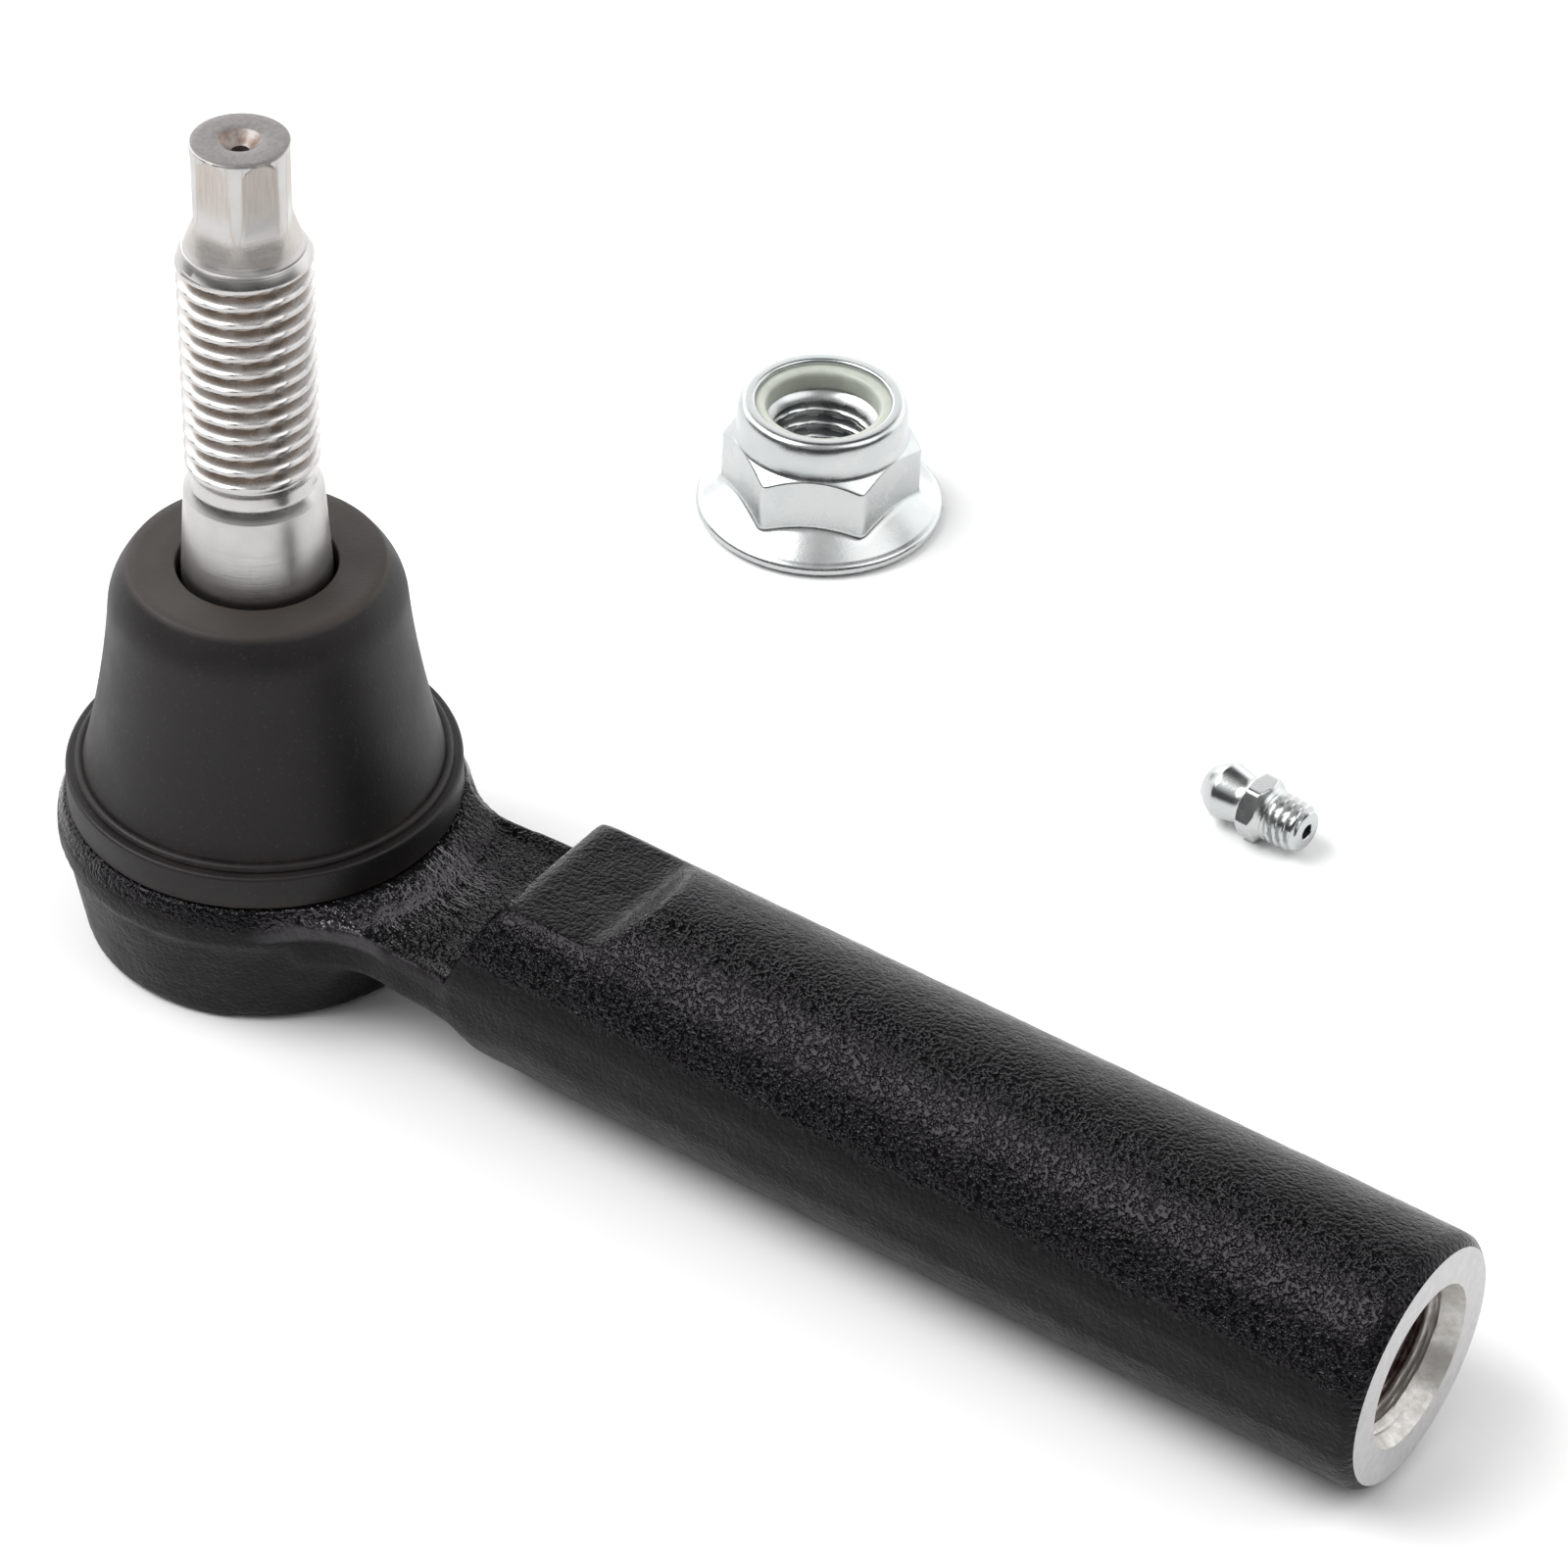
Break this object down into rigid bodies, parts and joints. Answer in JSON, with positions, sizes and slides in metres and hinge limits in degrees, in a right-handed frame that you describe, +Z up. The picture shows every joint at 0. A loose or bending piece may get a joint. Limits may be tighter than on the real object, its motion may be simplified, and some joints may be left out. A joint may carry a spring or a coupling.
{
  "type": "tie rod end",
  "caption": "Ball joint for a steering linkage: forged socket with a threaded barrel, taper stud, dust boot, and a loose lock nut and grease fitting.",
  "frame": {"origin": "on the ball stud's axis, in the plane of the socket's flat base", "axes": "+Z up the ball stud towards its tip, +X along the barrel towards its threaded mouth"},
  "size_m": [0.1655, 0.1344, 0.0975],
  "materials": {
    "forging_paint": "gloss black paint over a forged skin",
    "machined_steel": "turned, bright, light oil",
    "boot_rubber": "matte moulded rubber",
    "seal_rubber": "matte",
    "zinc_plate": "bright clear zinc plating",
    "nylon": "satin",
    "seat_plastic": "moulded acetal",
    "spring_steel": "blued"
  },
  "bodies": {
    "housing": {"housing_forging": "forging_paint", "end_cover": "zinc_plate", "cover_seal": "seal_rubber", "preload_spring": "spring_steel"},
    "pressure_seat": {"pressure_seat": "seat_plastic"},
    "bearing": {"upper_seat": "seat_plastic", "boot_anchor_ring": "spring_steel", "dust_boot": "boot_rubber"},
    "lip": {"boot_lip_ring": "spring_steel"},
    "stud": {"ball_stud": "machined_steel"},
    "nut": {"lock_nut": "zinc_plate", "nut_insert": "nylon"},
    "fitting": {"fitting_body": "zinc_plate", "check_spring": "spring_steel"},
    "check_ball": {"check_ball": "machined_steel"}
  },
  "joints": [
    {"name": "seat_turn", "type": "hinge", "parent": "housing", "child": "bearing", "pos_m": [0, 0, 0.018], "axis": [0, 0, 1], "continuous": true},
    {"name": "stud_tilt", "type": "hinge", "parent": "bearing", "child": "lip", "pos_m": [0, 0, 0.018], "axis": [0, 1, 0], "range_deg": [-22, 22], "deforming": ["dust_boot"]},
    {"name": "stud_spin", "type": "hinge", "parent": "lip", "child": "stud", "pos_m": [0, 0, 0.018], "axis": [0, 0, 1], "continuous": true},
    {"name": "seat_preload", "type": "slide", "parent": "housing", "child": "pressure_seat", "axis": [0, 0, 1], "range_m": [-0.0003, 0], "stiffness_N_per_m": 4000, "deforming": ["preload_spring"]},
    {"name": "nut_lift", "type": "slide", "parent": "housing", "child": "nut", "axis": [0, 0, 1], "range_m": [0, 0.1]},
    {"name": "fitting_lift", "type": "slide", "parent": "housing", "child": "fitting", "axis": [0, 0, 1], "range_m": [0, 0.1]},
    {"name": "check_valve", "type": "slide", "parent": "fitting", "child": "check_ball", "axis": [0.9962, -0.0872, 0], "range_m": [0, 0.0006], "stiffness_N_per_m": 100, "deforming": ["check_spring"]}
  ]
}
